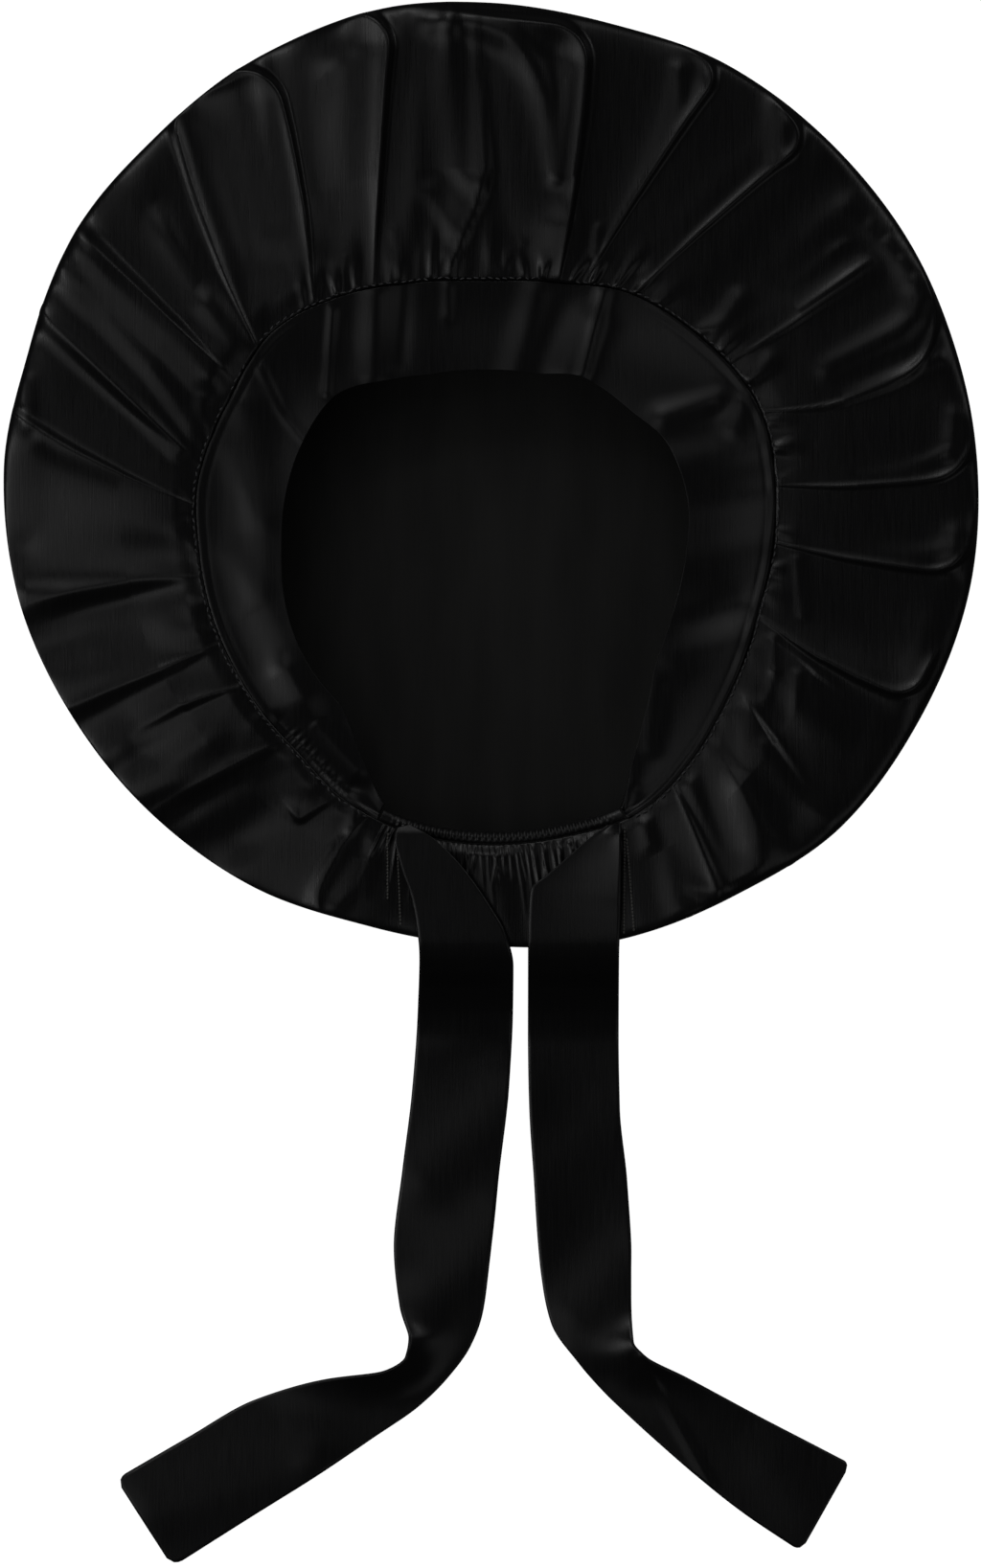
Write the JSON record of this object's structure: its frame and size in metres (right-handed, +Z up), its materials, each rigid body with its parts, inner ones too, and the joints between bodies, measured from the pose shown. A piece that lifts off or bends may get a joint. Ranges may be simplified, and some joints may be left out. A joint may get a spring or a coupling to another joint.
{
  "type": "satin sleep bonnet",
  "caption": "Round gathered satin bonnet lying on its crown with the opening up: flat headband, elastic nape edge and long flat ties.",
  "frame": {"origin": "on the surface that the bonnet lies on, in the middle of the crown's round outline", "axes": "+Z up out of the open hollow, +Y towards the front of the headband, away from the ties, +X to the right as seen from above with the ties towards the viewer"},
  "size_m": [0.3396, 0.5446, 0.0393],
  "materials": {
    "crown_satin": "black silk satin, glossy face outside and duller reverse inside",
    "band_satin": "doubled black silk satin, glossy face",
    "casing_satin": "black satin gathered over a narrow elastic",
    "tie_satin": "doubled black silk satin strap with turned-in edges"
  },
  "bodies": {
    "root": {"crown": "crown_satin", "headband": "band_satin", "nape_elastic": "casing_satin", "tie_left": "tie_satin", "tie_right": "tie_satin"}
  },
  "joints": []
}
